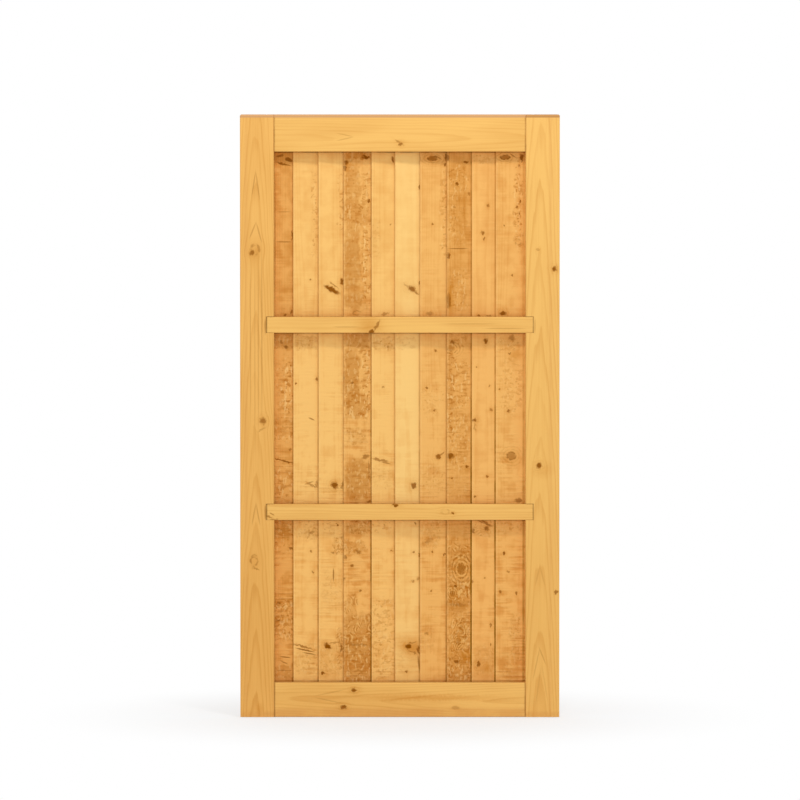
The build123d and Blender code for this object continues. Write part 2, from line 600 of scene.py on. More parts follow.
@dataclass(frozen=True)
class TimberFinish:
    """Strengths that all the timber shares, and the heights between which the boards change."""

    seed_step: Triple = (1.0, 0.7, 1.3)
    fibre_lumps: Triple = (330.0, 330.0, 7.0)
    cloud_lumps: Triple = (16.0, 16.0, 3.0)
    mottle_lumps: Triple = (38.0, 38.0, 30.0)
    outline_sway: float = 0.013
    steady_share: float = 0.12
    swaying_share: float = 0.45
    ragged_sway: float = 0.045
    rings_in_stain: float = 1.2
    planed_fibre: float = 0.6
    sawn_fibre: float = 0.15
    sawn_fibre_height: float = 0.35
    mottle: float = 0.32
    stroke: float = -0.3
    roughest: tuple[float, float] = (0.4, 1.15)
    low_mottle: float = 1.9
    low_stroke: float = 3.0
    lower_rail: tuple[float, float] = (0.5, 0.62)
    upper_rail: tuple[float, float] = (1.0, 1.12)
    low_glow: float = 0.1
    middle_bay: float = -0.2
    cream: float = 0.75
    furrow: float = 0.7
    ridge: float = 0.8
    # Lap lines of painted shade and dirt grow darker towards the foot between these heights, by up to this
    # much.
    darkest_laps: tuple[float, float] = (0.45, 1.2)
    low_lap_darkening: float = 2.6
    # How far the upward faces of planed pieces are darkened: partly grime, partly painted shade.
    ledge_darkening: float = 0.6
    weathering: float = 0.9
    planed_bump: float = 0.15
    sawn_bump: float = 0.5
    bump_distance: float = 0.0006
    roughness: float = 0.75
    specular: float = 0.04


@dataclass(frozen=True)
class Effects:
    """The shared effects, each built once for all the pieces."""

    rings: GrowthRings = field(default_factory=GrowthRings)
    knot: KnotMark = field(default_factory=KnotMark)
    patch: RoughPatch = field(default_factory=RoughPatch)
    saw: SawMarks = field(default_factory=SawMarks)
    seam: Seam = field(default_factory=Seam)


class Timber:
    """The material of one piece, built up from its wood to the dirt, painted shade and painted highlights on
    it.
    """

    def __init__(self, name: str, look: TimberLook, face_y: float, effects: Effects) -> None:
        """Starts the material and finds the places, faces and heights that its steps read.

        Args:
            name: the CAD node.
            look: the piece's look.
            face_y: how far behind the leaf's middle its near face lies.
            effects: the shared effects.
        """
        self.look = look
        self.face_y = face_y
        self.effects = effects
        self.finish = TimberFinish()
        self.material = bpy.data.materials.new(f"timber_{name}")
        self.material.use_nodes = True
        self.canvas = canvas = Canvas(self.material.node_tree)
        low, self.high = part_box(name)
        self.middle = (low + self.high) / 2
        self.body = canvas.add("ShaderNodeTexCoord").outputs["Object"]
        turned = canvas.add("ShaderNodeMapping", vector_type="TEXTURE")
        turned.inputs["Location"].default_value = self.middle
        turned.inputs["Rotation"].default_value = (0.0, look.grain.value, 0.0)
        canvas.feed(turned.inputs["Vector"], self.body)
        self.place = turned.outputs[0]
        self.seed = Vector(self.finish.seed_step) * look.seed
        self.texture = canvas.vectors("ADD", self.place, tuple(self.seed))
        self.normal = canvas.split(canvas.add("ShaderNodeTexCoord").outputs["Normal"])
        self.near = canvas.smooth(self.normal[1], -0.6, -0.2, 1.0, 0.0)
        self.level = canvas.split(self.body)[2]

    def settle(self, spot: Union[Mark, Patch]) -> tuple[Triple, Triple]:
        """Finds a spot's centre and half sizes in the piece's own frame, grain upright.

        Args:
            spot: the mark or patch.

        Returns:
            The centre, and the half sizes with a depth that has no end.
        """
        dx = VIEW.x(spot.column) - self.middle.x
        dz = VIEW.z(spot.row, self.face_y) - self.middle.z
        wide, tall = spot.wide * VIEW.pixel / 2, spot.tall * VIEW.pixel / 2
        depth = self.face_y - self.middle.y
        if self.look.grain is Grain.UPRIGHT:
            return (dx, depth, dz), (wide, ENDLESS, tall)
        return (-dz, depth, dx), (tall, ENDLESS, wide)

    def mark(self) -> tuple[Socket, Value, Value, Value]:
        """Draws the knots, streaks and stains.

        Returns:
            The place, where the marks have pushed the grain, and how dark, light and stained it is.
        """
        canvas, finish = self.canvas, self.finish
        wobble = canvas.scatter(self.texture, (120.0, 120.0, 120.0), 2.0, finish.outline_sway)
        wobbled = canvas.vectors("ADD", self.place, wobble)
        steady, swaying = (canvas.vectors("ADD", self.place, canvas.vectors("SCALE", wobble, share))
                           for share in (finish.steady_share, finish.swaying_share))
        outlines = {LINE: steady, WHORL: swaying, EYE: swaying, RING: swaying}
        broken = canvas.noise(self.texture, (110.0, 110.0, 110.0), detail=1.0).outputs["Fac"]
        broken = canvas.smooth(broken, 0.36, 0.58, 0.1, 1.0)
        place = self.place
        dark: Value = 0.0
        light: Value = 0.0
        stain: Value = 0.0
        for mark in self.look.marks:
            core, rim, swirl, tint, push = mark.kind.value
            centre, sizes = self.settle(mark)
            out = canvas.group(self.effects.knot.tree, Place=place, Wobbled=outlines.get(mark.kind, wobbled),
                               Centre=centre, Sizes=sizes, Lean=-math.radians(mark.lean),
                               Core=core * mark.force, Rim=rim * mark.force, Swirl=swirl * mark.force,
                               Stain=tint * mark.force, Push=push, Broken=broken, Dark_so_far=dark,
                               Light_so_far=light, Stain_so_far=stain)
            place, dark, light, stain = out["Place"], out["Dark"], out["Light"], out["Stain"]
        return place, dark, light, stain

    def tear(self) -> tuple[Value, Value, Value]:
        """Draws the rough patches.

        Returns:
            How torn, brown and curly the wood is.
        """
        canvas = self.canvas
        ragged = canvas.scatter(self.texture, (42.0, 42.0, 42.0), 4.0, self.finish.ragged_sway)
        ragged = canvas.vectors("ADD", self.place, ragged)
        torn: Value = 0.0
        brown: Value = 0.0
        curly: Value = 0.0
        for patch in self.look.patches:
            centre, sizes = self.settle(patch)
            out = canvas.group(self.effects.patch.tree, Ragged=ragged, Centre=centre, Sizes=sizes,
                               Torn=patch.torn, Brown=patch.brown, Curly=patch.curly, Torn_so_far=torn,
                               Brown_so_far=brown, Curly_so_far=curly)
            torn, brown, curly = out["Torn"], out["Brown"], out["Curly"]
        return torn, brown, curly

    def grow(self, place: Socket, stain: Value) -> tuple[Socket, Socket]:
        """Grows the wood: its rings, clouds and fibres.

        Args:
            place: the place, where the marks have pushed the grain.
            stain: how stained the wood is.

        Returns:
            How late the wood is, and its fibres.
        """
        canvas, look, finish = self.canvas, self.look, self.finish
        moved = canvas.vectors("ADD", place, tuple(self.seed))
        pith = Vector((*look.pith, 0.0)) + self.seed
        rings = canvas.group(self.effects.rings.tree, Place=moved, Pith=tuple(pith), Spacing=look.ring,
                             Wander=look.wander, Taper=look.taper)
        strength = canvas.maths("MULTIPLY_ADD", stain, finish.rings_in_stain, look.ring_strength)
        late = canvas.maths("MULTIPLY", rings["Latewood"], strength)
        fibre = canvas.noise(moved, finish.fibre_lumps).outputs["Fac"]
        cloud = canvas.noise(moved, finish.cloud_lumps).outputs["Fac"]
        shade = canvas.maths("MULTIPLY_ADD", canvas.smooth(cloud, 0.35, 0.65), look.cloud, late)
        strength = finish.sawn_fibre if look.sawn else finish.planed_fibre
        return canvas.maths("MULTIPLY_ADD", canvas.maths("SUBTRACT", fibre, 0.5), strength, shade), fibre

    def tint(self, shade: Socket) -> Socket:
        """Colours the wood by how late it is."""
        shade = self.canvas.maths("MAXIMUM", self.canvas.maths("MINIMUM", shade, 1.0), 0.0)
        return self.canvas.blend(shade, *self.look.tone.value)

    def saw(self, shade: Socket, fibre: Socket, rough: Sequence[Value]) -> tuple[Socket, Socket]:
        """Adds what the saw left on a board, rougher towards its foot.

        Args:
            shade: how late the wood is.
            fibre: its fibres.
            rough: how torn, brown and curly it is.

        Returns:
            The colour and the height of the surface.
        """
        canvas, finish, sawn = self.canvas, self.finish, self.look.sawn
        height = canvas.maths("MULTIPLY", fibre, finish.sawn_fibre_height)
        mottle = canvas.noise(self.texture, finish.mottle_lumps, detail=4.0).outputs["Fac"]
        mottle = canvas.smooth(mottle, 0.34, 0.66, -1.0, 1.0)
        more = canvas.smooth(self.level, *finish.roughest, finish.low_mottle, 1.0)
        mottle = canvas.maths("MULTIPLY", mottle, more)
        shade = canvas.maths("MULTIPLY_ADD", mottle, finish.mottle * sawn, shade)
        saw = canvas.group(self.effects.saw.tree, Place=self.texture)
        more = canvas.smooth(self.level, *finish.roughest, finish.low_stroke, 1.0)
        stroke = canvas.maths("MULTIPLY", saw["Stroke"], more)
        shade = canvas.maths("MULTIPLY_ADD", stroke, finish.stroke * sawn, shade)
        height = canvas.maths("MULTIPLY_ADD", stroke, sawn, height)
        warm = canvas.smooth(self.level, *finish.lower_rail, finish.low_glow, 0.0)
        paler = canvas.smooth(self.level, *finish.upper_rail, 1.0, 0.0)
        paler = canvas.maths("MULTIPLY", paler, canvas.smooth(self.level, *finish.lower_rail))
        shade = canvas.maths("MULTIPLY_ADD", paler, finish.middle_bay, shade)
        colour = canvas.blend(warm, self.tint(shade), GLOW_COLOUR)

        torn, brown, curly = (canvas.maths("MULTIPLY", share, self.near) for share in rough)
        colour = canvas.blend(brown, colour, TEAR_COLOUR)
        tear = canvas.maths("MULTIPLY", saw["Tear"], torn)
        cream = canvas.maths("MULTIPLY", saw["Cream"], canvas.maths("MULTIPLY", torn, finish.cream))
        colour = canvas.blend(cream, canvas.blend(tear, colour, TEAR_COLOUR), CREAM_COLOUR)
        furrow = canvas.maths("MULTIPLY", curly, finish.furrow)
        furrow = canvas.maths("MULTIPLY", canvas.smooth(saw["Curl"], 0.0, 0.9), furrow)
        ridge = canvas.maths("MULTIPLY", curly, finish.ridge)
        ridge = canvas.maths("MULTIPLY", canvas.smooth(saw["Curl"], -0.9, -0.2, 1.0, 0.0), ridge)
        return canvas.blend(ridge, canvas.blend(furrow, colour, TEAR_COLOUR), RIDGE_COLOUR), height

    def draw_traces(self, colour: Socket, joints: Sequence[Joint]) -> Socket:
        """Draws the straight traces on the near face, each kind over the ones before: painted shade with
        dirt at joints and laps, painted highlights on lit edges, and rosy tints.

        Args:
            colour: the colour so far.
            joints: the traces.

        Returns:
            The colour with them.
        """
        canvas, finish = self.canvas, self.finish
        uneven = canvas.noise(self.texture, (24.0, 24.0, 24.0)).outputs["Fac"]
        uneven = canvas.maths("MULTIPLY", canvas.smooth(uneven, 0.3, 0.62, 0.6, 1.1), self.near)
        # Lap lines of painted shade and dirt grow darker towards the foot.
        more = canvas.smooth(self.level, *finish.darkest_laps, finish.low_lap_darkening, 1.0)
        laps_darker_low = canvas.maths("MULTIPLY", uneven, more)
        sides = canvas.split(self.body)
        for trace in sorted({joint.trace for joint in joints}, key=list(Trace).index):
            line: Value = 0.0
            for joint in (joint for joint in joints if joint.trace is trace):
                line = canvas.group(self.effects.seam.tree, Across=sides[joint.axis], At=joint.at,
                                    Breadth=joint.breadth, Broken=laps_darker_low if trace is Trace.LAP else uneven,
                                    Force=joint.force, So_far=line)["Line"]
            colour = canvas.blend(canvas.maths("MINIMUM", line, 1.0), colour, trace.value)
        return colour

    def age(self, colour: Socket, stained_above: float) -> Socket:
        """Darkens the upward faces of a planed piece, partly grime and partly painted shade that holds back
        the light they bounce onto the boards, and weathers its top.

        Args:
            colour: the colour so far.
            stained_above: the height over which it is weathered brown.

        Returns:
            The aged colour.
        """
        canvas, finish = self.canvas, self.finish
        if not self.look.sawn:
            # Upward faces darkened: partly grime, partly painted shade that holds back the light they bounce
            # onto the boards.
            ledge = canvas.maths("MULTIPLY", canvas.smooth(self.normal[2], 0.8, 0.98), finish.ledge_darkening)
            colour = canvas.blend(ledge, colour, Trace.GRIME.value)
        if stained_above < self.high.z:
            aged = canvas.smooth(self.level, stained_above - 0.001, stained_above + 0.001)
            aged = canvas.maths("MULTIPLY", aged, finish.weathering)
            colour = canvas.blend(aged, colour, self.look.weathered)
        return colour

    def build(self, joints: Sequence[Joint], stained_above: float) -> bpy.types.Material:
        """Takes the piece from its wood to its dirt, painted shade and painted highlights.

        Args:
            joints: the straight traces on it.
            stained_above: the height over which it is weathered brown.

        Returns:
            The finished material.
        """
        canvas, finish, is_sawn = self.canvas, self.finish, bool(self.look.sawn)
        place, dark, light, stain = self.mark()
        rough = self.tear() if is_sawn else ()
        shade, fibre = self.grow(place, stain)
        colour, height = self.saw(shade, fibre, rough) if is_sawn else (self.tint(shade), fibre)
        colour = canvas.blend(stain, colour, STAIN_COLOUR)
        colour = canvas.blend(light, colour, RIDGE_COLOUR)
        colour = canvas.blend(canvas.maths("MINIMUM", dark, 1.0), colour, KNOT_COLOUR)
        colour = self.age(self.draw_traces(colour, joints), stained_above)

        shader = self.material.node_tree.nodes["Principled BSDF"]
        strength = finish.sawn_bump if is_sawn else finish.planed_bump
        canvas.roughen(shader, height, strength, finish.bump_distance)
        canvas.feed(shader.inputs["Base Color"], colour)
        shader.inputs["Roughness"].default_value = finish.roughness
        shader.inputs["Specular IOR Level"].default_value = finish.specular
        return self.material


@dataclass
class Carpenter:
    """Gives each piece the material that its look asks for."""

    effects: Effects = field(default_factory=Effects)

    def dress(self, name: str, look: TimberLook, face_y: float, joints: Sequence[Joint],
              stained_above: float = OVER_ALL) -> None:
        """Builds a piece's material and gives it to its node.

        Args:
            name: the CAD node.
            look: the piece's look.
            face_y: how far behind the leaf's middle its near face lies.
            joints: the straight traces on it.
            stained_above: the height over which it is weathered brown.
        """
        material = Timber(name, look, face_y, self.effects).build(joints, stained_above)
        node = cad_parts[name]
        node.data.materials.clear()
        node.data.materials.append(material)
        log.info("dressed %s in %s with %d marks", name, look.tone.name.lower(), len(look.marks))


@dataclass
class GateFrame:
    """The planed frame: two stiles, two end rails and two middle rails."""

    near_y: float = -0.0225
    weathered_from: float = 1.6925
    inner_edges: tuple[float, float] = (0.096, 0.804)
    blushes: tuple[float, float] = (0.017, 0.874)
    rail_ends: tuple[float, float] = (0.0965, 0.8035)
    looks: dict[str, TimberLook] = field(default_factory=lambda: {
        "hanging_stile": TimberLook(
            Tone.GOLD, seed=1.3, pith=(-0.003, -0.075), ring=0.0045, taper=0.03, ring_strength=0.42,
            cloud=0.2,
            marks=(
                KNOT(252.5, 253, 5, force=0.8), RING(255, 250, 10, 12, 20), KNOT(263, 421, 7.5, force=0.75),
                STREAK(262, 429, 9, 2, -30, 0.35), LINE(265.4, 326.5, 2, 17, force=0.8),
                LINE(265.4, 512, 2, 17, force=0.9), RING(254, 561, 8, 12, force=1.2),
                STAIN(254, 561, 7, 10, force=0.4), STREAK(256, 569, 8, 2, 20, 0.5),
                STAIN(254, 640, 60, 240, force=0.2), STAIN(260, 709, 5, 9, force=0.6),
                LINE(253, 230.5, 1.6, 19, 22, 0.6), LINE(259.3, 233, 1.6, 23, -15, 0.6),
                LINE(254, 184, 1.5, 28, 9, 0.6), LINE(258, 186, 1.5, 32, -8, 0.6),
                LINE(254, 514, 1.5, 24, 10, 0.6), LINE(258, 514, 1.5, 24, -10, 0.6),
                LINE(250.5, 340, 1.3, 170, force=0.5), LINE(255, 360, 1.3, 210, force=0.4),
                LINE(258.5, 345, 1.3, 190, force=0.5), LINE(262, 335, 1.4, 180, force=0.6),
            ),
        ),
        "latch_stile": TimberLook(
            Tone.FLAX, seed=4.1, pith=(-0.007, -0.085), ring=0.0052, taper=0.03, ring_strength=0.55,
            cloud=0.15, weathered=linear(188, 136, 84),
            marks=(
                KNOT(554, 269, 5), KNOT(539, 465.5, 6.5), STAIN(542, 470, 12, 10, force=0.5),
                LINE(534.8, 326.5, 1.6, 17, force=0.5), STAIN(540, 640, 60, 200, force=0.22),
                PIN(556, 592, 4, 5), PIN(538, 250, 4, force=0.4), LINE(537.5, 576, 1.6, 22, 14, 0.3),
                LINE(542.5, 576, 1.6, 22, -14, 0.3), LINE(536.5, 664, 1.6, 34, 12, 0.4),
                LINE(542.5, 656, 1.6, 20, -22, 0.5), LINE(538.5, 686, 1.6, 40, 8, 0.25),
                LINE(545, 684, 1.6, 40, -9, 0.25),
            ),
        ),
        "top_rail": TimberLook(
            Tone.FLAX, Grain.LEVEL, seed=7.7, pith=(0.01, -0.06), ring=0.006, wander=0.03, taper=0.02,
            ring_strength=0.35,
            marks=(
                PIN(400.6, 144.4, 5, 4), STREAK(398, 142.5, 8, 1.5, 35, 0.5),
                LINE(345, 135.5, 18, 1.4, 12, 0.45), LINE(345, 139.5, 18, 1.4, -12, 0.45),
            ),
        ),
        "bottom_rail": TimberLook(
            Tone.FLAX, Grain.LEVEL, seed=9.2, pith=(0.0, -0.05), ring=0.0055, wander=0.04, taper=-0.02,
            ring_strength=0.5,
            marks=(
                KNOT(354, 690.4, 6, 4.5), KNOT(343.5, 707.4, 6.5, 5), PIN(455.7, 708, 9, 4, force=0.5),
                STAIN(429, 698, 70, 3, force=0.8), LINE(330, 693, 34, 1.5, -12, 0.4),
                LINE(330, 701, 34, 1.5, 12, 0.4),
            ),
        ),
        "upper_middle_rail": TimberLook(
            Tone.FLAX, Grain.LEVEL, seed=12.4, pith=(0.02, -0.05), ring=0.005, ring_strength=0.3,
            marks=(
                STAIN(369, 326, 14, 12, force=0.8), STREAK(377, 325.5, 3, 13, 30, 0.7),
                KNOT(371.5, 331.5, 6, 4), LINE(346, 327, 30, 1.4, force=0.5),
                LINE(470, 324, 60, 1.4, force=0.4), LINE(505, 328.5, 44, 1.4, force=0.5),
            ),
        ),
        "lower_middle_rail": TimberLook(
            Tone.FLAX, Grain.LEVEL, seed=15.8, pith=(-0.02, -0.04), ring=0.005, ring_strength=0.5,
            marks=(
                PIN(395.3, 505.7, 7, 2.5, force=1.3), PIN(452.8, 513.3, 3, force=1.3),
                RING(445, 511.5, 9, 6, force=0.5), STREAK(269, 517, 8, 2, 18, 0.6),
                STREAK(274, 519.5, 9, 1.8, -8, 0.5), LINE(272, 514, 6, 1.5, 30),
            ),
        ),
    })

    def joints(self, name: str) -> list[Joint]:
        """The straight traces on one piece: painted shade with grime at its joints and a rosy tint along its
        outer edges.

        Args:
            name: the piece's node.

        Returns:
            Its traces.
        """
        if name.endswith("stile"):
            side = 0 if name.startswith("hanging") else 1
            # Painted shade with grime along the stile's inner edge, where the boards and rails meet it.
            return [Joint(ACROSS, self.inner_edges[side], 0.003, 0.3),
                    Joint(ACROSS, self.blushes[side], 0.006, 0.2, Trace.ROSY),
                    Joint(UP, 0.004, 0.016, 0.3, Trace.ROSY)]
        low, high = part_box(name)
        if "middle" in name:
            # Painted shade with grime at the rail ends, where they sit in the stiles' notches.
            return [Joint(ACROSS, low.x, 0.004, 0.6), Joint(ACROSS, high.x, 0.004, 0.35)]
        # Painted shade with grime where the end rails meet the stiles.
        lines = [Joint(ACROSS, end, 0.0035, 0.4) for end in self.rail_ends]
        if name == "bottom_rail":
            lines.append(Joint(UP, 0.008, 0.024, 0.45, Trace.ROSY))
        return lines

    def build(self, carpenter: Carpenter) -> None:
        """Dresses the six pieces.

        Args:
            carpenter: the maker of timber materials.
        """
        for name, look in self.looks.items():
            carpenter.dress(name, look, self.near_y, self.joints(name), self.weathered_from)


